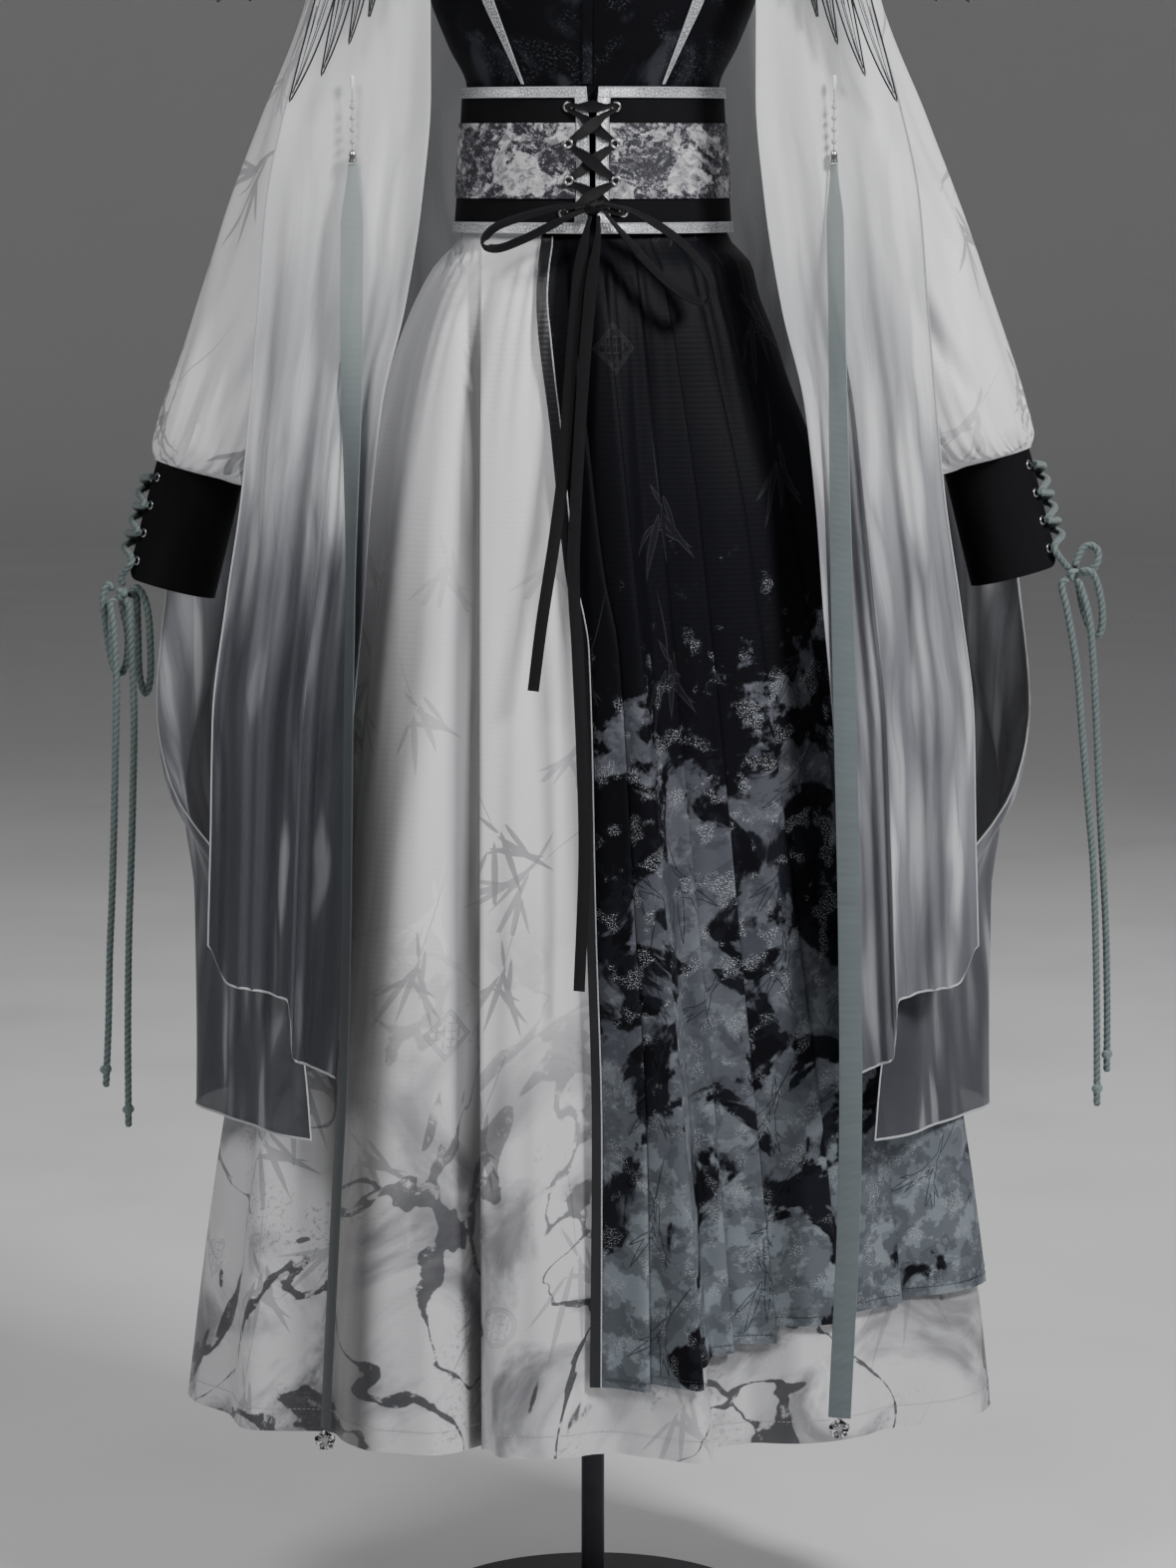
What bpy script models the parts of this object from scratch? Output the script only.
"""A two-tone wrapped gown with a laced waist corset, a sheer cape and laced cuffs, worn by a limbless
dress form on a round stand. Units are metres, +Z is up and the gown faces -Y. Left and right are as
seen from the front. The origin is the centre of the stand's underside.

Cloth is built as walls. A piece is first a grid of points on its outer face: rows run down the piece
and columns run anticlockwise as seen from above, so that at the front they run towards +X."""

import math
from collections import namedtuple

import bmesh
import bpy
from mathutils import Vector

# Gaps and walls
SEAM = 0.0003
SEAT = 0.0005
THIN_WALL = 0.0012
SHEER_WALL = 0.0010
VELVET_WALL = 0.0020
TRIM_WALL = 0.0010

# Stand and form
BASE_RADIUS = 0.140
BASE_HEIGHT = 0.012
BASE_ROUNDING = 0.004
POLE_RADIUS = 0.0095
POLE_SIDES = 16
FORM_BOTTOM = 0.965
FORM_TOP = 1.655
FORM_COLUMNS = 20
FORM_INSET = ((0.965, 0.0010), (1.137, 0.0020), (1.195, 0.0030), (1.252, 0.0055), (1.310, 0.0085),
              (1.500, 0.0090), (1.552, 0.0110), (1.600, 0.0070), (1.655, 0.0))

# Heights of the gown's lines
HEM = 0.185
WAIST_SEAM = 1.1950
CORSET_BOTTOM = 1.1390
CORSET_TOP = 1.2525
UNDERARM = 1.4000
SHOULDER_POINT = 1.5250
NECK_SIDE = 1.5780
NECK_DIP = 0.030

# Armhole: an upright oval in the side of the bodice
ARMHOLE_CENTRE = (SHOULDER_POINT + UNDERARM) / 2
ARMHOLE_HALF_HEIGHT = (SHOULDER_POINT - UNDERARM) / 2
ARMHOLE_HALF_WIDTH = 0.050

# The form's own surface, as ovals
Section = namedtuple("Section", "height half_width half_depth centre_y")
FORM = (
    Section(0.965, 0.148, 0.104, 0.000),
    Section(1.000, 0.150, 0.106, 0.000),
    Section(1.050, 0.139, 0.102, 0.000),
    Section(1.100, 0.116, 0.090, 0.000),
    Section(1.137, 0.1030, 0.0807, 0.000),
    Section(1.195, 0.0985, 0.0762, 0.000),
    Section(1.252, 0.0985, 0.0778, 0.000),
    Section(1.285, 0.113, 0.090, -0.002),
    Section(1.321, 0.1270, 0.103, -0.006),
    Section(1.370, 0.1390, 0.111, -0.009),
    Section(1.420, 0.1435, 0.101, -0.004),
    Section(1.470, 0.1500, 0.085, 0.001),
    Section(1.525, 0.1480, 0.063, 0.004),
    Section(1.550, 0.1050, 0.057, 0.005),
    Section(1.578, 0.0600, 0.054, 0.005),
    Section(1.600, 0.0560, 0.053, 0.005),
    Section(1.640, 0.0530, 0.050, 0.005),
    Section(1.655, 0.0400, 0.038, 0.005),
)
FORM_ROWS = (1.655, 1.640, 1.578, 1.552, 1.525, 1.486, 1.436, 1.370, 1.321, 1.285, 1.252, 1.195,
             1.137, 1.100, 1.050, 0.990, 0.965)

# Bodice rows, from the neck down to the waist seam
BODICE_ROWS = (1.578, 1.552, 1.525, 1.510, 1.486, 1.4625, 1.436, 1.413, 1.400, 1.370, 1.321, 1.285,
               1.254, 1.1953)
BAND_TOP = 1.552
BODICE_CAST = SEAT + THIN_WALL
COLLAR_HEIGHT = 0.034
COLLAR_LEAN = 0.003
COLLAR_OUT = 0.0008
PLACKET_INNER = 0.00075
PLACKET_OUTER = 0.00825

# The tapered silver bands, from the corset up to the shoulder: distance from the centre, and width
Band = namedtuple("Band", "height middle_x width")
BODICE_BAND = (
    Band(1.2540, 0.0540, 0.0012),
    Band(1.2900, 0.0690, 0.0050),
    Band(1.3210, 0.0815, 0.0080),
    Band(1.3700, 0.0960, 0.0085),
    Band(1.4300, 0.1030, 0.0085),
    Band(1.5100, 0.0950, 0.0085),
    Band(1.5520, 0.0850, 0.0085),
)

# Corset, its inner face as ovals, and its bands
CORSET = (
    Section(1.1390, 0.1087, 0.0866, 0.0),
    Section(1.1950, 0.1050, 0.0826, 0.0),
    Section(1.2525, 0.1018, 0.0812, 0.0),
)
CORSET_GAP_X = -0.0005
CORSET_GAP = ((1.1390, 0.0045), (1.1800, 0.0024), (1.2250, 0.0030), (1.2525, 0.0048))
JACQUARD_BOTTOM = 1.1660
JACQUARD_TOP = 1.2245
BORDER_WIDTH = 0.0080
FRONT_BORDER_WIDTH = 0.0085
CORSET_COLUMNS = 10
CORSET_HALF_ROUND = 0.30
Eyelet = namedtuple("Eyelet", "left_x left_z right_x right_z on_jacquard")
EYELETS = (
    Eyelet(-0.0195, 1.2370, 0.0177, 1.2370, False),
    Eyelet(-0.0195, 1.2086, 0.0172, 1.2086, True),
    Eyelet(-0.0190, 1.1802, 0.0177, 1.1798, True),
    Eyelet(-0.0232, 1.1550, 0.0235, 1.1555, False),
)
EYELET_RADIUS = 0.0040
EYELET_HOLE = 0.0022
EYELET_HEIGHT = 0.0010
EYELET_SIDES = 8
LACE_WIDTH = 0.0095
LACE_PINCH = 0.0032
LACE_THICKNESS = 0.0009
LACE_OVER_VELVET = 0.0024
LACE_OVER_JACQUARD = 0.0035
LACE_CROSSING_LIFT = 0.0024
LACE_TURN = 0.0022
LACE_NEAR_STOP = (0.0042, 0.0072, 0.0072, 0.0050, 0.0050, 0.0072, 0.0072, 0.0042)
KNOT_CENTRE = Vector((0.0010, -0.0970, 1.1595))
KNOT_SIZE = Vector((0.0076, 0.0058, 0.0067))

# Skirt: the plain oval of the white layer's outer face, from the waist seam to the hem
SKIRT = (
    Section(0.1850, 0.3180, 0.1780, 0.0),
    Section(0.3000, 0.3050, 0.1750, 0.0),
    Section(0.4340, 0.2860, 0.1710, 0.0),
    Section(0.6000, 0.2520, 0.1630, 0.0),
    Section(0.8000, 0.2100, 0.1500, 0.0),
    Section(0.9700, 0.1730, 0.1320, 0.0),
    Section(1.0400, 0.1555, 0.1200, 0.0),
    Section(1.0800, 0.1410, 0.1100, 0.0),
    Section(1.1120, 0.1245, 0.0975, 0.0),
    Section(1.1370, 0.1047, 0.0824, 0.0),
    Section(1.1950, 0.1002, 0.0779, 0.0),
)
SKIRT_ROWS = (1.1950, 1.1370, 1.1120, 1.0600, 0.9500, 0.7800, 0.5800, 0.3800, 0.1850)

# Folds of the skirt as ridges and valleys: their bearing at the hem and at the waist, and how far
# they stand out from the plain oval at the hem. Bearings are in degrees from +X, front is -90.
Fold = namedtuple("Fold", "hem_bearing waist_bearing out")
FRONT_FOLDS = (
    Fold(-170.0, -175.0, -0.006),
    Fold(-161.0, -172.0, 0.008),
    Fold(-153.0, -167.0, -0.024),
    Fold(-143.0, -160.0, 0.004),
    Fold(-136.0, -153.0, 0.014),
    Fold(-126.0, -145.0, 0.012),
    Fold(-118.5, -138.0, -0.016),
    Fold(-112.0, -132.0, 0.006),
    Fold(-100.0, -122.0, 0.009),
    Fold(-86.0, -108.0, -0.008),
    Fold(-75.0, -98.0, 0.008),
    Fold(-66.0, -86.0, 0.027),
    Fold(-57.0, -79.0, -0.018),
    Fold(-48.0, -66.0, -0.022),
    Fold(-38.0, -52.0, -0.008),
    Fold(-30.0, -41.0, -0.010),
    Fold(-23.0, -31.0, -0.020),
    Fold(-14.0, -18.0, 0.003),
    Fold(-5.0, -6.0, 0.010),
)
BACK_FOLD_COUNT = 6
BACK_FOLD_START = 6.0
BACK_FOLD_END = 180.0
BACK_RIDGE = 0.016
BACK_VALLEY = -0.014
FOLD_START = 0.012
SKIRT_CLEARANCE = ((0.185, 0.0040), (1.060, 0.0035), (1.112, 0.0030), (1.137, 0.0008), (1.195, 0.0006))

# Black panel: knife pleats from its front edge round to the back
PLEAT_LINES = (-91.0, -76.5, -66.5, -52.0, -44.0, -33.0, -20.0, -5.0, 10.0, 25.0, 43.0, 62.0, 81.0, 100.0)
PLEAT_DEPTH = ((0.185, 0.0060), (0.950, 0.0035), (1.112, 0.0015), (1.137, 0.0004), (1.195, 0.0004))
PLEAT_DROP = 0.12
PANEL_HEMS = (0.240, 0.246, 0.262, 0.268, 0.282, 0.288, 0.292, 0.292, 0.290, 0.288, 0.286, 0.284,
              0.282)
PANEL_EDGE = ((0.240, -0.0025), (0.440, -0.0010), (0.600, -0.0050), (0.820, -0.0110), (0.880, -0.0210),
              (0.990, -0.0320), (1.090, -0.0420), (1.139, -0.0390), (1.195, -0.0380))
EDGING_WIDTH = 0.0090

# Sleeve rings for the right side, from the armhole to the cuff: outer and inner points seen from the
# front, half the depth, and how deep the gathers are
Ring = namedtuple("Ring", "outer_x outer_z inner_x inner_z half_depth gather")
SLEEVE = (
    Ring(0.1860, 1.4900, 0.1600, 1.3900, 0.0540, 0.0),
    Ring(0.2060, 1.4200, 0.1620, 1.3450, 0.0560, 0.0),
    Ring(0.2280, 1.3210, 0.1600, 1.2800, 0.0540, 0.0),
    Ring(0.2635, 1.2300, 0.1680, 1.1950, 0.0540, 0.0),
    Ring(0.2940, 1.1530, 0.1820, 1.1200, 0.0560, 0.0),
    Ring(0.3195, 1.0800, 0.1970, 1.0450, 0.0600, 0.0010),
    Ring(0.3380, 1.0250, 0.2120, 0.9850, 0.0630, 0.0020),
    Ring(0.3475, 0.9930, 0.2300, 0.9550, 0.0600, 0.0030),
    Ring(0.3510, 0.9770, 0.2540, 0.9430, 0.0480, 0.0030),
)
SLEEVE_COLUMNS = 18
SLEEVE_GATHERS = 9
CUFF_TOP = Vector((0.3165, 0.0, 0.9580))
CUFF_BOTTOM = Vector((0.3410, 0.0, 0.8660))
CUFF_HALF_WIDTH = 0.0362
CUFF_HALF_DEPTH = 0.0330
CUFF_FLARE = 0.0015
SLIT_FRONT = -22.0
SLIT_BACK = 14.0
SLIT_OPENING = 6.0
CUFF_COLUMNS = 13
CUFF_ROWS = 3
CORD_RADIUS = 0.0030
CUFF_EYELET_LEVELS = (0.12, 0.36, 0.60, 0.84)
LEFT_CUFF_DROP = 0.0100

# Cape front for the right side: inner and outer edge, and how far it hangs in front of the body
CapeEdge = namedtuple("CapeEdge", "height inner_x outer_x")
CAPE_FRONT = (
    CapeEdge(0.440, 0.2050, 0.3050),
    CapeEdge(0.560, 0.1960, 0.3040),
    CapeEdge(0.670, 0.1915, 0.3010),
    CapeEdge(0.760, 0.1870, 0.2990),
    CapeEdge(0.850, 0.1790, 0.2880),
    CapeEdge(0.930, 0.1730, 0.2760),
    CapeEdge(1.010, 0.1640, 0.2680),
    CapeEdge(1.080, 0.1470, 0.2620),
    CapeEdge(1.166, 0.1330, 0.2546),
    CapeEdge(1.250, 0.1260, 0.2360),
    CapeEdge(1.320, 0.1260, 0.2160),
    CapeEdge(1.420, 0.1130, 0.2030),
    CapeEdge(1.500, 0.0950, 0.1960),
    CapeEdge(1.580, 0.0780, 0.1930),
)
CapeTop = namedtuple("CapeTop", "across x z")
CAPE_TOP = (
    CapeTop(0.00, 0.0800, 1.5730),
    CapeTop(0.30, 0.1080, 1.5540),
    CapeTop(0.55, 0.1380, 1.5365),
    CapeTop(0.75, 0.1600, 1.5230),
    CapeTop(1.00, 0.1850, 1.4975),
)
CapeDrop = namedtuple("CapeDrop", "below_top inner_out outer_out")
CAPE_DROP = (
    CapeDrop(0.000, 0.0006, 0.0006),
    CapeDrop(0.0035, 0.0220, 0.0200),
    CapeDrop(0.012, 0.0420, 0.0390),
    CapeDrop(0.034, 0.0620, 0.0565),
    CapeDrop(0.070, 0.0770, 0.0690),
    CapeDrop(0.130, 0.0890, 0.0745),
    CapeDrop(0.200, 0.0930, 0.0770),
    CapeDrop(0.330, 0.0930, 0.0800),
    CapeDrop(0.480, 0.1020, 0.0880),
    CapeDrop(0.680, 0.1270, 0.1010),
    CapeDrop(0.880, 0.1510, 0.1150),
    CapeDrop(1.080, 0.1700, 0.1260),
)
CAPE_SHOULDER_ROWS = (0.0, 0.0035, 0.012, 0.034, 0.075, 0.140)
CAPE_LOWER_ROWS = 5
CAPE_HEM_LOW = 0.488
CAPE_HEM_HIGH = 0.545
CAPE_FOLD_AT = 0.36
CAPE_FOLD_STEP = 0.0060
CAPE_FOLD_RUN = 0.03
CAPE_RIPPLES = 2.5
CAPE_RIPPLE_DEPTH = 0.0050
CAPE_COLUMNS = (0.0, 0.11, 0.22, 0.33, 0.39, 0.50, 0.61, 0.72, 0.84, 1.0)

# Cape back: a curtain round the back and sides, as ovals with the half angle that it covers
Curtain = namedtuple("Curtain", "height half_width half_depth centre_y half_angle")
CAPE_BACK = (
    Curtain(0.420, 0.3180, 0.2200, 0.0170, 137.0),
    Curtain(0.500, 0.3170, 0.2130, 0.0170, 135.0),
    Curtain(0.600, 0.3190, 0.1960, 0.0200, 127.0),
    Curtain(0.700, 0.3440, 0.1830, 0.0220, 103.0),
    Curtain(0.800, 0.3500, 0.1800, 0.0180, 83.0),
    Curtain(0.900, 0.3500, 0.1580, 0.0260, 75.0),
    Curtain(1.000, 0.3460, 0.1260, 0.0420, 70.0),
    Curtain(1.100, 0.3230, 0.1000, 0.0420, 68.0),
    Curtain(1.200, 0.2950, 0.0850, 0.0400, 66.0),
    Curtain(1.400, 0.2320, 0.0850, 0.0320, 62.0),
    Curtain(1.480, 0.2120, 0.0800, 0.0270, 62.0),
)
CAPE_BACK_HEM = 0.432
CAPE_BACK_COLUMNS = 24
CAPE_BACK_RIPPLES = 6
CAPE_BACK_RIPPLE_DEPTH = 0.0070
NECK_SHARE = 0.30
CAPE_OFF_BODICE = 0.0060
CAPE_OFF_NECK = 0.0135

# Feather piece for the right side: bearing outwards from straight down, and length of each feather
Feather = namedtuple("Feather", "bearing length")
FEATHERS = (
    Feather(-1.5, 0.1850),
    Feather(1.2, 0.2160),
    Feather(4.2, 0.2364),
    Feather(7.2, 0.2587),
    Feather(10.6, 0.2862),
    Feather(14.2, 0.3114),
    Feather(19.0, 0.2050),
    Feather(25.4, 0.2510),
    Feather(30.1, 0.2637),
)
FEATHER_ROOT = Vector((0.1500, 0.0, 1.5400))
FEATHER_START = 0.040
FEATHER_NOTCH = 0.80
FEATHER_ROWS = (0.0, 0.10, 0.30, 0.62, 1.0)
FEATHER_LIFT = 0.0085

# Bead strings, ribbons and pendants
BEAD_X = 0.1868
BEAD_TOP = 1.2610
BEAD_RADIUS = 0.0032
STRING_RADIUS = 0.0009
PEARL_HEIGHTS = (1.2368, 1.2284, 1.2193, 1.2101)
BEAD_CAP_BOTTOM = 1.1935
BEAD_SIDES = 6
RIBBON_WIDTH = 0.0180
RIBBON_PINCH = 0.0075
RIBBON_THICKNESS = 0.0010
PENDANT_RADIUS = 0.0085
PENDANT_THICKNESS = 0.0024
PENDANT_LOBES = 5

# Routes of what hangs free, chosen by hand
LEFT_RIBBON_ROUTE = ((-0.1860, 1.1928), (-0.1875, 1.0900), (-0.1880, 0.9900), (-0.1885, 0.8900),
                     (-0.1900, 0.7600), (-0.1915, 0.6200), (-0.1945, 0.4950), (-0.2000, 0.4000),
                     (-0.2055, 0.3000), (-0.2105, 0.2085))
RIGHT_RIBBON_ROUTE = ((0.1875, 1.1928), (0.1885, 1.0900), (0.1900, 1.0100), (0.1925, 0.8900),
                      (0.1950, 0.7800), (0.1985, 0.6200), (0.2000, 0.4700), (0.1985, 0.3600),
                      (0.1955, 0.2800), (0.1930, 0.2190))
LEFT_TAIL_ROUTE = ((-0.0022, -0.0985, 1.1528), (-0.0060, -0.1060, 1.1380), (-0.0120, -0.1210, 1.1000),
                   (-0.0180, -0.1360, 1.0300), (-0.0230, -0.1480, 0.9600), (-0.0300, -0.1570, 0.9050),
                   (-0.0400, -0.1650, 0.8400), (-0.0464, -0.1720, 0.7900))
RIGHT_TAIL_ROUTE = ((0.0040, -0.0990, 1.1528), (0.0035, -0.1120, 1.1360), (-0.0020, -0.1300, 1.0950),
                    (-0.0090, -0.1470, 1.0100), (-0.0150, -0.1640, 0.8900), (-0.0120, -0.1710, 0.8200),
                    (-0.0085, -0.1770, 0.7400), (-0.0070, -0.1830, 0.6600), (-0.0110, -0.1880, 0.5580))
LEFT_BOW_ROUTE = ((-0.0064, -0.0985, 1.1625), (-0.0260, -0.1060, 1.1600), (-0.0600, -0.1110, 1.1510),
                  (-0.0780, -0.1120, 1.1430), (-0.0850, -0.1150, 1.1320), (-0.0740, -0.1190, 1.1280),
                  (-0.0520, -0.1200, 1.1360), (-0.0240, -0.1140, 1.1500), (-0.0066, -0.1020, 1.1572))
RIGHT_BOW_ROUTE = ((0.0084, -0.0985, 1.1625), (0.0300, -0.1070, 1.1570), (0.0580, -0.1150, 1.1410),
                   (0.0800, -0.1180, 1.1210), (0.0920, -0.1210, 1.1000), (0.0860, -0.1260, 1.0880),
                   (0.0680, -0.1280, 1.0940), (0.0450, -0.1250, 1.1140), (0.0240, -0.1160, 1.1380),
                   (0.0086, -0.1025, 1.1560))
LEFT_KNOT = Vector((-0.3775, -0.0185, 0.8510))
RIGHT_KNOT = Vector((0.3850, -0.0175, 0.8665))
CUFF_KNOT_SIZE = Vector((0.0054, 0.0054, 0.0054))
LEFT_LACING_END = Vector((-0.3769, -0.0167, 0.8580))
RIGHT_LACING_END = Vector((0.3818, -0.0186, 0.8714))
LEFT_LOOP_A = ((-0.3842, -0.0195, 0.8545), (-0.3894, -0.0206, 0.8580), (-0.3925, -0.0210, 0.8450),
               (-0.3890, -0.0215, 0.8140), (-0.3850, -0.0215, 0.7930), (-0.3790, -0.0205, 0.7872),
               (-0.3745, -0.0180, 0.7970), (-0.3740, -0.0130, 0.8180), (-0.3789, -0.0080, 0.8419),
               (-0.3782, -0.0135, 0.8467))
LEFT_LOOP_B = ((-0.3704, -0.0200, 0.8540), (-0.3649, -0.0213, 0.8563), (-0.3590, -0.0200, 0.8460),
               (-0.3560, -0.0170, 0.8250), (-0.3560, -0.0140, 0.7840), (-0.3605, -0.0130, 0.7700),
               (-0.3650, -0.0120, 0.7860), (-0.3660, -0.0100, 0.8180), (-0.3670, -0.0098, 0.8482),
               (-0.3726, -0.0144, 0.8497))
LEFT_TAIL_A = ((-0.3816, -0.0221, 0.8473), (-0.3862, -0.0262, 0.8432), (-0.3835, -0.0315, 0.8250),
               (-0.3815, -0.0325, 0.7800), (-0.3835, -0.0300, 0.7200), (-0.3861, -0.0250, 0.6567),
               (-0.3890, -0.0200, 0.6000), (-0.3915, -0.0170, 0.5578), (-0.3935, -0.0150, 0.5000),
               (-0.3962, -0.0150, 0.4483))
LEFT_TAIL_B = ((-0.3747, -0.0226, 0.8466), (-0.3716, -0.0272, 0.8418), (-0.3700, -0.0310, 0.8250),
               (-0.3680, -0.0310, 0.7600), (-0.3704, -0.0260, 0.6844), (-0.3735, -0.0200, 0.6200),
               (-0.3759, -0.0160, 0.5717), (-0.3780, -0.0120, 0.5000), (-0.3787, -0.0110, 0.4144))
RIGHT_LOOP_A = ((0.3896, -0.0218, 0.8685), (0.3941, -0.0260, 0.8704), (0.4010, -0.0270, 0.8660),
                (0.4070, -0.0240, 0.8450), (0.4080, -0.0215, 0.8250), (0.4035, -0.0200, 0.8165),
                (0.3985, -0.0170, 0.8240), (0.3935, -0.0090, 0.8400), (0.3899, -0.0070, 0.8588),
                (0.3873, -0.0126, 0.8629))
RIGHT_LOOP_B = ((0.3867, -0.0139, 0.8718), (0.3883, -0.0104, 0.8769), (0.3930, -0.0070, 0.8860),
                (0.4000, -0.0070, 0.8890), (0.4055, -0.0100, 0.8840), (0.4035, -0.0130, 0.8740),
                (0.3974, -0.0136, 0.8685), (0.3913, -0.0155, 0.8675))
RIGHT_TAIL_A = ((0.3804, -0.0205, 0.8629), (0.3752, -0.0238, 0.8588), (0.3790, -0.0290, 0.8400),
                (0.3837, -0.0300, 0.8150), (0.3884, -0.0270, 0.7872), (0.3931, -0.0230, 0.7403),
                (0.3992, -0.0200, 0.6800), (0.4043, -0.0180, 0.6282), (0.4077, -0.0160, 0.5578),
                (0.4095, -0.0150, 0.4900), (0.4103, -0.0150, 0.4326))
RIGHT_TAIL_B = ((0.3873, -0.0221, 0.8624), (0.3899, -0.0273, 0.8578), (0.3950, -0.0310, 0.8400),
                (0.3990, -0.0300, 0.8150), (0.4035, -0.0240, 0.7600), (0.4090, -0.0150, 0.6800),
                (0.4135, -0.0100, 0.6200), (0.4165, -0.0080, 0.5709), (0.4185, -0.0060, 0.5100),
                (0.4189, -0.0060, 0.4591))

# Finishes: colour, roughness, metallic
FINISHES = {
    "dark_metal": ((0.05, 0.05, 0.055), 0.35, 1.0),
    "form_cover": ((0.30, 0.29, 0.28), 0.9, 0.0),
    "black_satin": ((0.012, 0.012, 0.016), 0.5, 0.0),
    "silver_braid": ((0.50, 0.52, 0.55), 0.4, 0.3),
    "velvet": ((0.006, 0.006, 0.008), 0.95, 0.0),
    "jacquard": ((0.33, 0.32, 0.36), 0.5, 0.0),
    "steel": ((0.75, 0.75, 0.76), 0.25, 1.0),
    "lace": ((0.008, 0.008, 0.010), 0.45, 0.0),
    "white_satin": ((0.72, 0.72, 0.73), 0.4, 0.0),
    "sheer": ((0.45, 0.47, 0.52), 0.6, 0.0),
    "organza": ((0.55, 0.57, 0.60), 0.5, 0.0),
    "pearl": ((0.80, 0.80, 0.82), 0.2, 0.1),
    "sage_ribbon": ((0.14, 0.19, 0.20), 0.5, 0.0),
    "sage_cord": ((0.23, 0.31, 0.30), 0.8, 0.0),
}


def read(table, column, at):
    """Smooth value of a column at `at`, between the rows of a table whose first column rises."""
    keys = [row[0] for row in table]
    values = [row[column] for row in table]
    if at <= keys[0]:
        return values[0]
    if at >= keys[-1]:
        return values[-1]
    i = max(k for k in range(len(keys) - 1) if keys[k] <= at)
    slopes = []
    for k in (i, i + 1):
        if k in (0, len(keys) - 1):
            slopes.append(0.0 if k else (values[1] - values[0]) / (keys[1] - keys[0]))
            continue
        before = (values[k] - values[k - 1]) / (keys[k] - keys[k - 1])
        after = (values[k + 1] - values[k]) / (keys[k + 1] - keys[k])
        slopes.append(0.0 if before * after <= 0 else 2 * before * after / (before + after))
    if i + 1 == len(keys) - 1:
        slopes[1] = (values[-1] - values[-2]) / (keys[-1] - keys[-2])
    span = keys[i + 1] - keys[i]
    t = (at - keys[i]) / span
    start = values[i] * (1 + 2 * t) * (1 - t) ** 2 + slopes[0] * span * t * (1 - t) ** 2
    end = values[i + 1] * (3 - 2 * t) * t * t + slopes[1] * span * t * t * (t - 1)
    return start + end


def ease(low, high, at):
    """Smooth step from 0 at `low` to 1 at `high`."""
    t = min(1.0, max(0.0, (at - low) / (high - low)))
    return t * t * (3 - 2 * t)


def mix(a, b, share):
    """The value a share of the way from a to b."""
    return a + (b - a) * share


def finish(name):
    """The material of this name, made on first use."""
    made = bpy.data.materials.get(name)
    if made:
        return made
    colour, roughness, metallic = FINISHES[name]
    made = bpy.data.materials.new(name)
    made.use_nodes = True
    shader = made.node_tree.nodes["Principled BSDF"]
    shader.inputs["Base Color"].default_value = (*colour, 1.0)
    shader.inputs["Roughness"].default_value = roughness
    shader.inputs["Metallic"].default_value = metallic
    return made


def place(name, mesh, finish_name):
    """Put a mesh in the scene as one smooth-shaded object with its finish."""
    mesh.materials.append(finish(finish_name))
    mesh.shade_smooth()
    mesh.set_sharp_from_angle(angle=math.radians(40))
    made = bpy.data.objects.new(name, mesh)
    bpy.context.scene.collection.objects.link(made)
    return made


def solid(name, points, faces, finish_name):
    """One closed body from points and faces, turned to face outwards."""
    mesh = bpy.data.meshes.new(name)
    mesh.from_pydata([tuple(point) for point in points], [], faces)
    work = bmesh.new()
    work.from_mesh(mesh)
    bmesh.ops.recalc_face_normals(work, faces=work.faces)
    work.to_mesh(mesh)
    work.free()
    return place(name, mesh, finish_name)


def normals(grid, closed):
    """Outward directions at every point of a grid, from its neighbours."""
    rows = len(grid)
    columns = len(grid[0])
    found = []
    for i in range(rows):
        line = []
        for j in range(columns):
            before = grid[i][(j - 1) % columns] if closed else grid[i][max(j - 1, 0)]
            after = grid[i][(j + 1) % columns] if closed else grid[i][min(j + 1, columns - 1)]
            down = grid[min(i + 1, rows - 1)][j] - grid[max(i - 1, 0)][j]
            line.append(down.cross(after - before).normalized())
        found.append(line)
    return found


def moved(grid, ways, distance):
    """A copy of a grid, moved along a direction for each point."""
    return [[point + way * distance for point, way in zip(line, row)] for line, row in zip(grid, ways)]


def shell(name, outer, inner, finish_name, closed=False, keep=None):
    """A wall between two grids. `keep` picks the cells to build; the others stay open."""
    rows = len(outer)
    columns = len(outer[0])
    cells_across = columns if closed else columns - 1
    cells = {(i, j) for i in range(rows - 1) for j in range(cells_across) if keep is None or keep(i, j)}
    spots = {}
    points = []

    def spot(layer, i, j):
        key = (layer, i, j % columns)
        if key not in spots:
            spots[key] = len(points)
            points.append((outer, inner)[layer][i][j % columns])
        return spots[key]

    faces = []
    for i, j in sorted(cells):
        corners = ((i, j), (i, j + 1), (i + 1, j + 1), (i + 1, j))
        for picked in ((0, 1, 2), (0, 2, 3)):
            faces.append([spot(0, *corners[k]) for k in picked])
            faces.append([spot(1, *corners[k]) for k in reversed(picked)])
        sides = (((i - 1, j), 0, 1), ((i, j + 1), 1, 2), ((i + 1, j), 2, 3), ((i, j - 1), 3, 0))
        for (row, column), start, end in sides:
            beside = (row, column % cells_across if closed else column)
            if beside not in cells:
                a = corners[start]
                b = corners[end]
                faces.append([spot(0, *a), spot(1, *a), spot(1, *b), spot(0, *b)])
    return solid(name, points, faces, finish_name)


def wall(name, outer, thickness, finish_name, closed=False, keep=None, ways=None):
    """A wall of one thickness behind an outer grid."""
    ways = ways or normals(outer, closed)
    return shell(name, outer, moved(outer, ways, -thickness), finish_name, closed, keep)


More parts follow.
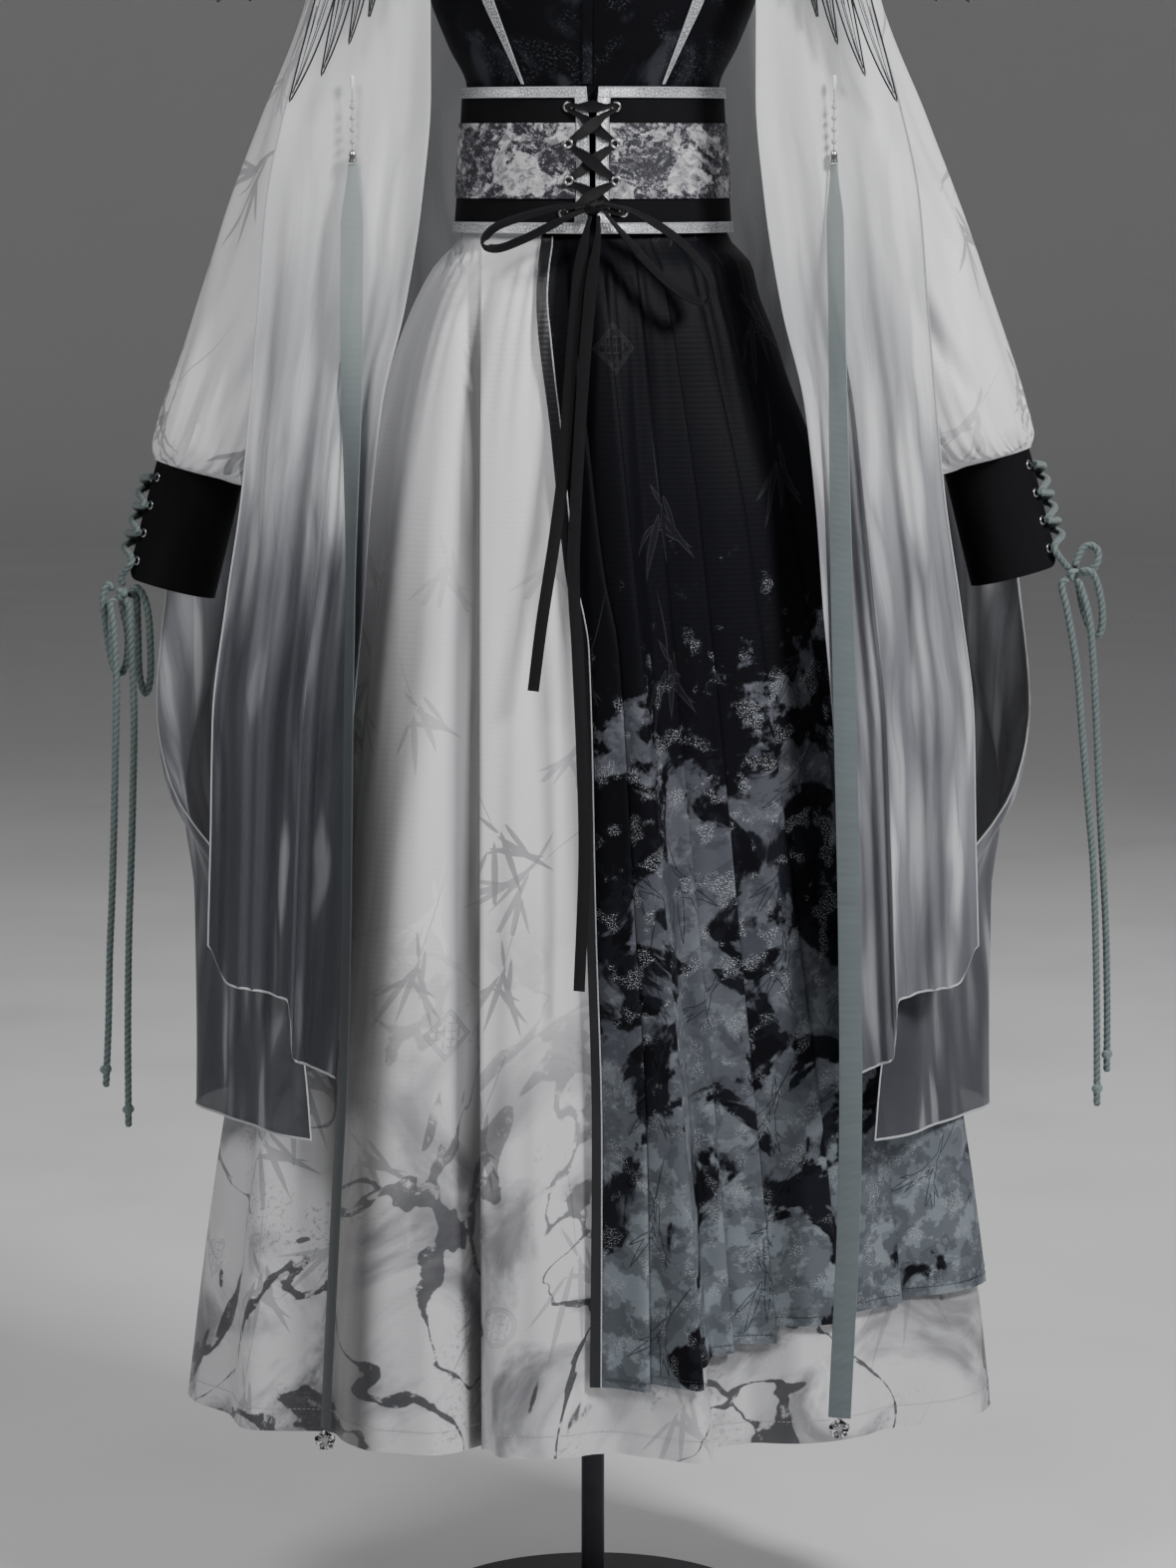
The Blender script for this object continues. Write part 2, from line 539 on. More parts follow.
def laid(surface, places):
    """Points and outward directions of a surface at rows of places."""
    points = []
    ways = []
    for row in places:
        points.append([surface(a, b) for a, b in row])
        line = []
        for a, b in row:
            down = surface(a - 0.0005, b) - surface(a + 0.0005, b)
            across = surface(a, b + 0.2) - surface(a, b - 0.2)
            line.append(down.cross(across).normalized())
        ways.append(line)
    return points, ways


def columns_of(grid, first, last):
    """Part of a grid, from one column to another."""
    return [line[first:last + 1] for line in grid]


def mirrored(grid):
    """The same piece for the other side, its columns turned round so that it still faces out."""
    return [[Vector((-point.x, point.y, point.z)) for point in reversed(line)] for line in grid]


def smooth_route(route, spacing):
    """Points an even step apart along a smooth curve through a route's own points."""
    knots = [Vector(point) for point in route]
    knots = [knots[0] * 2 - knots[1]] + knots + [knots[-1] * 2 - knots[-2]]
    dense = []
    steps = 24
    for i in range(1, len(knots) - 2):
        before, start, end, after = knots[i - 1:i + 3]
        for k in range(steps):
            t = k / steps
            dense.append(0.5 * (2 * start + (end - before) * t
                                + (2 * before - 5 * start + 4 * end - after) * t * t
                                + (3 * start - before - 3 * end + after) * t ** 3))
    dense.append(knots[-2])
    lengths = [0.0]
    for a, b in zip(dense, dense[1:]):
        lengths.append(lengths[-1] + (b - a).length)
    count = max(2, round(lengths[-1] / spacing))
    points = []
    at = 0
    for k in range(count + 1):
        goal = lengths[-1] * k / count
        while at < len(lengths) - 2 and lengths[at + 1] < goal:
            at += 1
        share = (goal - lengths[at]) / (lengths[at + 1] - lengths[at])
        points.append(dense[at].lerp(dense[at + 1], share))
    return points


def strip(name, points, across, width, thickness, finish_name):
    """A flat ribbon along points. `across` and `width` give its direction and width at each point."""
    corners = []
    last = len(points) - 1
    for i, point in enumerate(points):
        along = (points[min(i + 1, last)] - points[max(i - 1, 0)]).normalized()
        side = across(i / last)
        side = (side - along * side.dot(along)).normalized()
        up = side.cross(along)
        half = side * width(i / last) / 2
        rise = up * thickness / 2
        corners.append([point + half + rise, point - half + rise, point - half - rise, point + half - rise])
    faces = [[0, 1, 2, 3], [4 * last + k for k in (3, 2, 1, 0)]]
    for i in range(last):
        near = [4 * i + k for k in range(4)]
        far = [4 * i + 4 + k for k in range(4)]
        faces += [[near[0], near[1], far[1]], [near[0], far[1], far[0]]]
        faces += [[near[2], near[3], far[2]], [near[3], far[3], far[2]]]
        faces += [[near[1], near[2], far[2], far[1]], [near[3], near[0], far[0], far[3]]]
    return solid(name, [corner for ring in corners for corner in ring], faces, finish_name)


def cord(name, route, radius, spacing, finish_name):
    """A round cord as a bevelled curve with filled ends."""
    points = smooth_route(route, spacing)
    curve = bpy.data.curves.new(name, "CURVE")
    curve.dimensions = "3D"
    curve.bevel_depth = radius
    curve.bevel_resolution = 2
    curve.use_fill_caps = True
    line = curve.splines.new("POLY")
    line.points.add(len(points) - 1)
    for spot, point in zip(line.points, points):
        spot.co = (*point, 1.0)
    curve.materials.append(finish(finish_name))
    made = bpy.data.objects.new(name, curve)
    bpy.context.scene.collection.objects.link(made)
    return made


def turned(name, profile, sides, finish_name, centre=(0.0, 0.0)):
    """A solid turned about an upright axis, from rows of radius and height, top to bottom."""
    points = [Vector((centre[0], centre[1], profile[0][1]))]
    for radius, height in profile:
        for k in range(sides):
            angle = 2 * math.pi * k / sides
            x = centre[0] + radius * math.cos(angle)
            points.append(Vector((x, centre[1] + radius * math.sin(angle), height)))
    points.append(Vector((centre[0], centre[1], profile[-1][1])))
    faces = []
    last = len(points) - 1
    for k in range(sides):
        after = (k + 1) % sides
        faces.append([0, 1 + k, 1 + after])
        base = 1 + (len(profile) - 1) * sides
        faces.append([last, base + after, base + k])
        for i in range(len(profile) - 1):
            low = 1 + i * sides
            faces.append([low + k, low + sides + k, low + sides + after, low + after])
    return solid(name, points, faces, finish_name)


def oval_point(table, height, bearing, out=0.0):
    """The point of an oval section at a bearing in degrees, `out` beyond it."""
    angle = math.radians(bearing)
    x = (read(table, 1, height) + out) * math.cos(angle)
    y = read(table, 3, height) + (read(table, 2, height) + out) * math.sin(angle)
    return Vector((x, y, height))


# Stand and form

def build_stand():
    """Round base with a softened upper edge, and a plain pole."""
    radius = BASE_RADIUS
    soft = BASE_ROUNDING
    turned("stand_base", [(radius - soft, BASE_HEIGHT), (radius - soft * 0.3, BASE_HEIGHT - soft * 0.3),
                          (radius, BASE_HEIGHT - soft), (radius, 0.0)], 32, "dark_metal")
    turned("stand_pole", [(POLE_RADIUS, FORM_BOTTOM - SEAM), (POLE_RADIUS, BASE_HEIGHT + SEAM)],
           POLE_SIDES, "dark_metal")


def build_form():
    """Padded torso without limbs, closed over the neck."""
    rows = sorted(FORM_ROWS)
    points = [Vector((0.0, 0.0, rows[0]))]
    for height in rows:
        for k in range(FORM_COLUMNS):
            points.append(oval_point(FORM, height, 360.0 * k / FORM_COLUMNS, -read(FORM_INSET, 1, height)))
    points.append(Vector((0.0, read(FORM, 3, FORM_TOP), FORM_TOP + SEAT)))
    last = len(points) - 1
    faces = []
    for k in range(FORM_COLUMNS):
        after = (k + 1) % FORM_COLUMNS
        faces.append([0, 1 + after, 1 + k])
        top = 1 + (len(rows) - 1) * FORM_COLUMNS
        faces.append([last, top + k, top + after])
        for i in range(len(rows) - 1):
            low = 1 + i * FORM_COLUMNS
            faces.append([low + k, low + after, low + FORM_COLUMNS + after, low + FORM_COLUMNS + k])
    solid("form_torso", points, faces, "form_cover")


# Bodice

def bodice_point(height, bearing, out=BODICE_CAST):
    """A point on the bodice. The neckline dips at the front."""
    front = max(0.0, -math.sin(math.radians(bearing))) ** 2
    dip = NECK_DIP * front * ease(1.47, NECK_SIDE, height)
    return oval_point(FORM, height - dip, bearing, out)


def side_bearing(height, front):
    """Bearing at which the right half ends: at the side seam, or at the armhole's edge."""
    rise = (height - ARMHOLE_CENTRE) / ARMHOLE_HALF_HEIGHT
    if abs(rise) >= 1:
        return 0.0
    depth = ARMHOLE_HALF_WIDTH * math.sqrt(1 - rise * rise)
    y = (-depth if front else depth) - read(FORM, 3, height)
    share = y / (read(FORM, 2, height) + BODICE_CAST)
    return math.degrees(math.asin(max(-0.98, min(0.98, share))))


def seam_bearing(height):
    """Bearing that half a seam's gap takes up at the side of the bodice."""
    return math.degrees(SEAM / 2 / read(FORM, 2, height))


def bearing_at(x, height):
    """Front bearing at a distance from the bodice's centre."""
    half = read(FORM, 1, height) + BODICE_CAST
    return -math.degrees(math.acos(max(-1.0, min(1.0, x / half))))


def band_bearing(height, edge):
    """Bearing of an edge of the silver band: edge is -1 for the inner and 1 for the outer one."""
    height = min(height, BAND_TOP)
    x = read(BODICE_BAND, 1, height) + edge * read(BODICE_BAND, 2, height) / 2
    return bearing_at(x, height)


def front_places(with_placket):
    """Heights and bearings of one bodice front, its columns on the edges of its trims."""
    places = []
    for height in BODICE_ROWS:
        side = side_bearing(height, True) - seam_bearing(height)
        band = (band_bearing(height, -1), band_bearing(height, 1))
        line = [bearing_at(SEAM / 2, height)]
        if with_placket:
            top = min(height, BAND_TOP)
            line += [bearing_at(PLACKET_INNER, top), bearing_at(PLACKET_OUTER, top)]
        line += [mix(line[-1], band[0], 0.55), band[0], band[1], mix(band[1], side, 0.5), side]
        places.append([(height, bearing) for bearing in line])
    return places


def back_places(columns):
    """Heights and bearings of the bodice's back, from its right side seam to its left one."""
    places = []
    for height in BODICE_ROWS:
        start = side_bearing(height, False) + seam_bearing(height)
        places.append([(height, mix(start, 180.0 - start, k / columns)) for k in range(columns + 1)])
    return places


def build_bodice():
    """Two fronts, one back, a collar, a placket and two silver bands."""
    right, right_ways = laid(bodice_point, front_places(False))
    wall("bodice_front_right", right, THIN_WALL, "black_satin", ways=right_ways)
    plain, plain_ways = laid(bodice_point, front_places(True))
    left = mirrored(plain)
    left_ways = mirrored(plain_ways)
    wall("bodice_front_left", left, THIN_WALL, "black_satin", ways=left_ways)
    back, back_ways = laid(bodice_point, back_places(8))
    wall("bodice_back", back, THIN_WALL, "black_satin", ways=back_ways)
    build_collar()
    last = len(left[0]) - 1
    trims = (("placket", left, left_ways, last - 2, last - 1, 0, 12, "black_satin"),
             ("bodice_band_left", left, left_ways, 2, 3, 1, 12, "silver_braid"),
             ("bodice_band_right", right, right_ways, 2, 3, 1, 12, "silver_braid"))
    for name, grid, ways, first, end, top, bottom, look in trims:
        points = columns_of(grid, first, end)[top:bottom + 1]
        outward = columns_of(ways, first, end)[top:bottom + 1]
        shell(name, moved(points, outward, SEAM + TRIM_WALL), moved(points, outward, SEAM), look)


def build_collar():
    """Low standing collar on the neckline, open at the centre front."""
    columns = 14
    opening = 6.0
    rows = 3
    grid = []
    for i in range(rows):
        rise = COLLAR_HEIGHT * (1 - i / (rows - 1)) + SEAM
        line = []
        for k in range(columns + 1):
            bearing = -90.0 + opening + (360.0 - 2 * opening) * k / columns
            base = bodice_point(NECK_SIDE, bearing, BODICE_CAST + COLLAR_OUT)
            lean = COLLAR_LEAN * (1 - rise / COLLAR_HEIGHT)
            way = Vector((base.x, base.y - read(FORM, 3, NECK_SIDE), 0.0)).normalized()
            line.append(base + way * lean + Vector((0.0, 0.0, rise)))
        grid.append(line)
    wall("collar", grid, THIN_WALL, "black_satin")


# Corset

def corset_front_bearing(height, side):
    """Bearing of a half's front edge: side is 1 for the right half and -1 for the left one."""
    x = CORSET_GAP_X + side * read(CORSET_GAP, 1, height)
    return -math.degrees(math.acos(x / (read(CORSET, 1, height) + VELVET_WALL)))


def corset_point(height, share, side, out):
    """A point on a corset half: share 0 at its front edge and 1 at the back seam."""
    start = corset_front_bearing(height, side)
    back_gap = math.degrees(SEAM / 2 / read(CORSET, 1, height))
    end = 90.0 - back_gap if side > 0 else -270.0 + back_gap
    return oval_point(CORSET, height, mix(start, end, share), VELVET_WALL + out)


def build_corset():
    """Velvet ground, jacquard strip and silver border, in two halves that meet at the back."""
    even = [k / CORSET_COLUMNS for k in range(CORSET_COLUMNS + 1)]
    front_share = FRONT_BORDER_WIDTH / CORSET_HALF_ROUND
    shares = [0.0, front_share] + [share for share in even if share > front_share + 0.02]
    heights = (CORSET_TOP, CORSET_TOP - BORDER_WIDTH, JACQUARD_TOP, 1.195, JACQUARD_BOTTOM,
               CORSET_BOTTOM + BORDER_WIDTH, CORSET_BOTTOM)
    for side, word in ((1, "right"), (-1, "left")):
        ordered = shares if side > 0 else list(reversed(shares))

        def surface(height, share, side=side):
            return corset_point(height, share / 100, side, 0.0)

        places = [[(height, share * 100) for share in ordered] for height in heights]
        points, ways = laid(surface, places)
        ways = [[way * side for way in line] for line in ways]
        wall("corset_" + word, points, VELVET_WALL, "velvet", ways=ways)
        over = moved(points, ways, SEAM + TRIM_WALL)
        under = moved(points, ways, SEAM)
        front_cell = 0 if side > 0 else len(shares) - 2

        def on_border(i, j, front_cell=front_cell):
            return i in (0, len(heights) - 2) or j == front_cell

        shell("corset_border_" + word, over, under, "silver_braid", keep=on_border)
        strip_places = [line[1:] if side > 0 else line[:-1] for line in places[2:5]]
        start = (front_share + SEAM * 3 / CORSET_HALF_ROUND) * 100
        for line in strip_places:
            spot = 0 if side > 0 else len(line) - 1
            line[spot] = (line[spot][0], start)
        points, ways = laid(surface, strip_places)
        ways = [[way * side for way in line] for line in ways]
        shell("corset_jacquard_" + word, moved(points, ways, SEAM + TRIM_WALL), moved(points, ways, SEAM),
              "jacquard")


def corset_at(x, height, out):
    """Point and outward direction on the corset's front at a distance from the centre."""
    half = read(CORSET, 1, height) + VELVET_WALL + out
    bearing = -math.degrees(math.acos(x / half))
    point = oval_point(CORSET, height, bearing, VELVET_WALL + out)
    depth = read(CORSET, 2, height) + VELVET_WALL + out
    way = Vector((point.x / half ** 2, point.y / depth ** 2, 0.0)).normalized()
    return point, way


def build_eyelets():
    """Flat rings pressed into the corset beside its front edges."""
    for level, row in enumerate(EYELETS, start=1):
        base = SEAM + (SEAM + TRIM_WALL if row.on_jacquard else 0.0)
        for word, x, height in (("left", row.left_x, row.left_z), ("right", row.right_x, row.right_z)):
            point, way = corset_at(x, height, base)
            side = way.cross(Vector((0.0, 0.0, 1.0))).normalized()
            up = side.cross(way)
            rings = []
            for radius, rise in ((EYELET_HOLE, 0.0), (EYELET_RADIUS, 0.0),
                                 (EYELET_RADIUS * 0.85, EYELET_HEIGHT), (EYELET_HOLE, EYELET_HEIGHT)):
                ring = []
                for k in range(EYELET_SIDES):
                    angle = 2 * math.pi * k / EYELET_SIDES
                    ring.append(point + way * rise + (side * math.cos(angle) + up * math.sin(angle)) * radius)
                rings.append(ring)
            faces = []
            for i in range(4):
                for k in range(EYELET_SIDES):
                    a = i * EYELET_SIDES + k
                    b = i * EYELET_SIDES + (k + 1) % EYELET_SIDES
                    c = (i + 1) % 4 * EYELET_SIDES + (k + 1) % EYELET_SIDES
                    d = (i + 1) % 4 * EYELET_SIDES + k
                    faces.append([a, b, c, d])
            solid(f"corset_eyelet_{word}_{level}", [p for ring in rings for p in ring], faces, "steel")


def lace_vertices():
    """Vertices of the corset lace, from the knot through every eyelet and back: x, height, lift, width."""
    left = [(row.left_x, row.left_z, row.on_jacquard) for row in EYELETS]
    right = [(row.right_x, row.right_z, row.on_jacquard) for row in EYELETS]
    stops = [right[3], left[2], right[1], left[0], right[0], left[1], right[2], left[3]]
    knot_level = KNOT_CENTRE.z - 0.0010
    ends = [(KNOT_CENTRE.x + 0.0045, knot_level, False), (KNOT_CENTRE.x - 0.0045, knot_level, False)]
    route = [ends[0]] + stops + [ends[1]]
    vertices = [(*ends[0][:2], LACE_OVER_VELVET, LACE_PINCH)]
    for i in range(1, len(route) - 1):
        before, here, after = (Vector(stop[:2]) for stop in route[i - 1:i + 2])
        lift = LACE_OVER_JACQUARD if route[i][2] else LACE_OVER_VELVET
        arriving = (here - before).normalized()
        leaving = (after - here).normalized()
        inward = (leaving - arriving).normalized()
        centre = here + inward * LACE_TURN
        turn = arriving.angle_signed(leaving)
        for k in range(5):
            swing = turn * (k / 4 - 0.5)
            spoke = -inward
            cos, sin = math.cos(-swing), math.sin(-swing)
            spot = centre + Vector((spoke.x * cos - spoke.y * sin, spoke.x * sin + spoke.y * cos)) * LACE_TURN
            vertices.append((spot.x, spot.y, lift, LACE_PINCH))
        if i == len(route) - 2:
            break
        next_lift = LACE_OVER_JACQUARD if route[i + 1][2] else LACE_OVER_VELVET
        over = LACE_CROSSING_LIFT if i > 4 else 0.0
        near = (LACE_NEAR_STOP[i - 1], LACE_WIDTH, LACE_NEAR_STOP[i])
        for share, rise, width in zip((0.24, 0.5, 0.76), (0.45, 1.0, 0.45), near):
            spot = here.lerp(after, share)
            vertices.append((spot.x, spot.y, mix(lift, next_lift, share) + over * rise, width))
    vertices.append((*ends[1][:2], LACE_OVER_VELVET, LACE_PINCH))
    return vertices


def build_corset_lace():
    """Flat lace crossed through the eyelets, its knot, two bow loops and two free tails."""
    vertices = lace_vertices()
    line = []
    outward = []
    for x, height, lift, _width in vertices:
        point, way = corset_at(x, height, lift)
        line.append(point)
        outward.append(way)
    last = len(line) - 1

    def across(share):
        k = round(share * last)
        return (line[min(k + 1, last)] - line[max(k - 1, 0)]).cross(outward[k])

    strip("corset_lace", line, across, lambda share: vertices[round(share * last)][3], LACE_THICKNESS, "lace")
    knob("lace_knot", KNOT_CENTRE, KNOT_SIZE, "lace")
    flat_tail = Vector((1.0, -0.2, 0.0))
    for word, loop, tail, turn in (("left", LEFT_BOW_ROUTE, LEFT_TAIL_ROUTE, Vector((0.25, -0.75, -0.60))),
                                   ("right", RIGHT_BOW_ROUTE, RIGHT_TAIL_ROUTE, Vector((0.45, 0.75, 0.50)))):
        strip("lace_loop_" + word, smooth_route(loop, 0.011), lambda share, turn=turn: turn,
              lambda share: mix(LACE_PINCH, LACE_WIDTH, ease(0.0, 0.22, share) * ease(0.0, 0.22, 1 - share)),
              LACE_THICKNESS, "lace")
        strip("lace_tail_" + word, smooth_route(tail, 0.032), lambda share: flat_tail,
              lambda share: mix(LACE_PINCH, LACE_WIDTH, ease(0.0, 0.1, share)), LACE_THICKNESS, "lace")


def knob(name, centre, size, finish_name):
    """A rounded knot."""
    sides = 8
    profile = [(0.45, 0.9), (0.87, 0.5), (1.0, 0.0), (0.87, -0.5), (0.45, -0.9)]
    points = [centre + Vector((0.0, 0.0, size.z))]
    for reach, rise in profile:
        for k in range(sides):
            angle = 2 * math.pi * k / sides
            way = Vector((size.x * reach * math.cos(angle), size.y * reach * math.sin(angle), size.z * rise))
            points.append(centre + way)
    points.append(centre - Vector((0.0, 0.0, size.z)))
    last = len(points) - 1
    faces = []
    for k in range(sides):
        after = (k + 1) % sides
        faces.append([0, 1 + k, 1 + after])
        faces.append([last, last - sides + after, last - sides + k])
        for i in range(len(profile) - 1):
            low = 1 + i * sides
            faces.append([low + k, low + sides + k, low + sides + after, low + after])
    solid(name, points, faces, finish_name)


# Skirt

def all_folds():
    """Front folds from the table, and even ones round the back, in order of bearing."""
    folds = list(FRONT_FOLDS)
    step = (BACK_FOLD_END - BACK_FOLD_START) / BACK_FOLD_COUNT
    for k in range(BACK_FOLD_COUNT):
        valley = BACK_FOLD_START + (k + 0.35) * step
        ridge = BACK_FOLD_START + (k + 0.9) * step
        folds.append(Fold(valley, valley, BACK_VALLEY))
        folds.append(Fold(ridge, ridge, BACK_RIDGE))
    return folds


FOLDS = all_folds()


def skirt_progress(height):
    """0 at the waist seam and 1 at the hem."""
    return (WAIST_SEAM - height) / (WAIST_SEAM - HEM)


def turned_bearing(hem_bearing, height):
    """Where a line of the cloth that ends at a bearing of the hem lies at a height."""
    around = [(fold.hem_bearing, fold.waist_bearing) for fold in FOLDS]
    wrapped = [(hem - 360, waist - 360) for hem, waist in around[-2:]] + around
    wrapped += [(hem + 360, waist + 360) for hem, waist in around[:2]]
    waist = read(wrapped, 1, hem_bearing)
    return mix(waist, hem_bearing, skirt_progress(height))


def fold_out(bearing, height):
    """How far the folds stand out at a bearing and a height."""
    progress = skirt_progress(height)
    around = [(mix(fold.waist_bearing, fold.hem_bearing, progress), fold.out) for fold in FOLDS]
    wrapped = [(at - 360, out) for at, out in around[-3:]] + around
    wrapped += [(at + 360, out) for at, out in around[:3]]
    growth = FOLD_START + (1 - FOLD_START) * max(0.0, (CORSET_BOTTOM - height) / (CORSET_BOTTOM - HEM)) ** 0.8
    return growth * read(wrapped, 1, bearing)


def skirt_point(bearing, height, out=0.0):
    """A point on the white skirt's outer face, `out` beyond it."""
    angle = math.radians(bearing)
    width = read(SKIRT, 1, height)
    depth = read(SKIRT, 2, height)
    plain = width * depth / math.hypot(depth * math.cos(angle), width * math.sin(angle))
    reach = plain + fold_out((bearing + 180) % 360 - 180, height) + out
    return Vector((reach * math.cos(angle), reach * math.sin(angle), height))


def skirt_columns():
    """Bearings at the hem of the skirt's columns: every ridge and valley, and one in the wider gaps."""
    marks = sorted(fold.hem_bearing for fold in FOLDS)
    columns = []
    for a, b in zip(marks, marks[1:] + [marks[0] + 360]):
        columns.append(a)
        if b - a > 8.9 and a < BACK_FOLD_START:
            columns.append((a + b) / 2)
    return columns


def build_white_skirt():
    """Full white skirt in large soft folds, from the waist seam to the hem."""
    columns = skirt_columns()
    grid = [[skirt_point(turned_bearing(at, height), height) for at in columns] for height in SKIRT_ROWS]
    wall("skirt_white", grid, THIN_WALL, "white_satin", closed=True)


def panel_point(share, height, out=0.0):
    """A point on the black panel. `share` counts pleats: whole numbers are fold lines."""
    pleat = min(int(share), len(PLEAT_LINES) - 2)
    within = share - pleat
    at = mix(PLEAT_LINES[pleat], PLEAT_LINES[pleat + 1], within)
    bearing = turned_bearing(at, height)
    edge_shift = panel_edge_bearing(height) - turned_bearing(PLEAT_LINES[0], height)
    bearing += edge_shift * (1 - ease(0.0, 3.0, share))
    depth = read(PLEAT_DEPTH, 1, height)
    lip = 1 - PLEAT_DROP
    profile = within / lip if within < lip else (1 - within) / PLEAT_DROP
    rise = read(SKIRT_CLEARANCE, 1, height) + THIN_WALL + depth * profile
    return skirt_point(bearing, height, rise + out)


def panel_edge_bearing(height):
    """Bearing of the black panel's front edge."""
    x = read(PANEL_EDGE, 1, height)
    bearing = -90.0
    for _step in range(6):
        point = skirt_point(bearing, height)
        bearing += math.degrees((x - point.x) / math.hypot(point.x, point.y))
    return bearing


def edging_share(height):
    """How much of the first pleat the edging takes up."""
    start = panel_point(0.0, height)
    return 0.40 * EDGING_WIDTH / (panel_point(0.40, height) - start).length


def panel_shares(height):
    """Pleat shares of the panel's columns at a height: the edging's edge, then three to a pleat."""
    shares = [0.0, edging_share(height), 0.5, 1 - PLEAT_DROP]
    for pleat in range(1, len(PLEAT_LINES) - 1):
        shares += [pleat, pleat + 0.45, pleat + 1 - PLEAT_DROP]
    shares.append(len(PLEAT_LINES) - 1.0)
    return shares


def panel_hem(share):
    """Height of the panel's hem: each pleat ends at its own height."""
    pleat = min(int(share), len(PANEL_HEMS) - 1)
    return PANEL_HEMS[pleat]


def panel_grid():
    """The panel's outer face: rows shared with the white skirt, and its own hem."""
    grid = [[panel_point(share, height) for share in panel_shares(height)] for height in SKIRT_ROWS[:-1]]
    count = len(grid[0])
    hem = []
    for k in range(count):
        height = panel_hem(panel_shares(0.3)[k])
        hem.append(panel_point(panel_shares(height)[k], height))
    return grid + [hem]


def build_black_panel():
    """Knife-pleated panel over the right side and half the back, with an edging down its front."""
    outer = panel_grid()
    ways = normals(outer, False)
    wall("skirt_black", outer, THIN_WALL, "black_satin", ways=ways)
    points = columns_of(outer, 0, 1)[1:]
    outward = columns_of(ways, 0, 1)[1:]
    over = moved(points, outward, SEAM + TRIM_WALL)
    shell("skirt_edging", over, moved(points, outward, SEAM), "silver_braid")


# Sleeves and cuffs

def armhole_edge(height, front):
    """Point of the armhole's edge at a height, straight between the bodice's own rows."""
    rows = [row for row in BODICE_ROWS if UNDERARM <= row <= SHOULDER_POINT]
    above = min(row for row in rows if row >= height - 1e-6)
    below = max(row for row in rows if row <= height + 1e-6)
    share = 0.0 if above == below else (height - below) / (above - below)
    low = bodice_point(below, side_bearing(below, front))
    return low.lerp(bodice_point(above, side_bearing(above, front)), share)


def armhole_ring(side_out):
    """First ring of the right sleeve, just outside the armhole's edge."""
    ring = []
    for k in range(SLEEVE_COLUMNS):
        angle = 2 * math.pi * k / SLEEVE_COLUMNS
        height = ARMHOLE_CENTRE + ARMHOLE_HALF_HEIGHT * math.cos(angle)
        edge = armhole_edge(height, math.sin(angle) < 0)
        ring.append(edge + Vector((side_out, 0.0010 * math.sin(angle), 0.0010 * math.cos(angle))))
    return ring


def cuff_frame(share):
    """Centre of the cuff a share of the way down, and its outward direction in the front view."""
    axis = (CUFF_BOTTOM - CUFF_TOP).normalized()
    return CUFF_TOP.lerp(CUFF_BOTTOM, share), Vector((-axis.z, 0.0, axis.x))


def cuff_point(share, bearing, out=0.0):
    """A point on the right cuff's outer face. Bearing 0 is the outer side and -90 the front."""
    centre, away = cuff_frame(share)
    flare = CUFF_FLARE * share
    angle = math.radians(bearing)
    return (centre + away * (CUFF_HALF_WIDTH + flare + out) * math.cos(angle)
            + Vector((0.0, 1.0, 0.0)) * (CUFF_HALF_DEPTH + flare + out) * math.sin(angle))


def sleeve_grid():
    """Right sleeve from the armhole to the cuff, with gathers above the cuff."""
    grid = [armhole_ring(0.0015)]
    for ring in SLEEVE:
        outer = Vector((ring.outer_x, 0.0, ring.outer_z))
        inner = Vector((ring.inner_x, 0.0, ring.inner_z))
        centre = (outer + inner) / 2
        half = (outer - inner) / 2
        line = []
        for k in range(SLEEVE_COLUMNS):
            angle = 2 * math.pi * k / SLEEVE_COLUMNS
            gather = ring.gather * math.cos(SLEEVE_GATHERS * angle)
            scale = 1 - ring.gather / half.length + gather / half.length
            line.append(centre + half * math.cos(angle) * scale
                        + Vector((0.0, ring.half_depth * math.sin(angle) * scale, 0.0)))
        grid.append(line)
    axis = (CUFF_BOTTOM - CUFF_TOP).normalized()
    closing = [cuff_point(0.0, 360.0 * k / SLEEVE_COLUMNS) - axis * SEAM * 3 for k in range(SLEEVE_COLUMNS)]
    grid.append(closing)
    return grid


def lowered(grid, drop):
    """A copy of a grid whose lower end is dropped, while its upper end stays."""
    return [[Vector((p.x, p.y, p.z - drop * ease(1.40, 1.02, p.z))) for p in line] for line in grid]


def cuff_grid():
    """Right cuff with its slit on the outer side, wider towards the hand."""
    grid = []
    for i in range(CUFF_ROWS + 1):
        share = i / CUFF_ROWS
        start = SLIT_BACK + SLIT_OPENING * share
        end = 360.0 + SLIT_FRONT - SLIT_OPENING * share
        grid.append([cuff_point(share, mix(start, end, k / CUFF_COLUMNS)) for k in range(CUFF_COLUMNS + 1)])
    return grid


def lacing_route():
    """Zigzag of the right cuff's cord between the two edges of its slit."""
    edge_room = 13.0
    rise = CORD_RADIUS + 0.0022
    route = []
    for level, share in enumerate(CUFF_EYELET_LEVELS):
        front = SLIT_FRONT - SLIT_OPENING * share - edge_room
        back = SLIT_BACK + SLIT_OPENING * share + edge_room
        route.append(cuff_point(share, front, rise))
        if level < len(CUFF_EYELET_LEVELS) - 1:
            route.append(cuff_point(share + 0.06, 0.0, rise + 0.0005))
            route.append(cuff_point(share + 0.12, back, rise))
            route.append(cuff_point(share + 0.18, 0.0, rise + 0.0005))
    route.append(cuff_point(1.0, SLIT_FRONT - 8.0, rise + 0.0005))
    return route


def other_side(points, drop):
    """Single points of the right side carried over to the left, lowered with the cuff."""
    return [Vector((-p.x, p.y, p.z - drop)) for p in points]


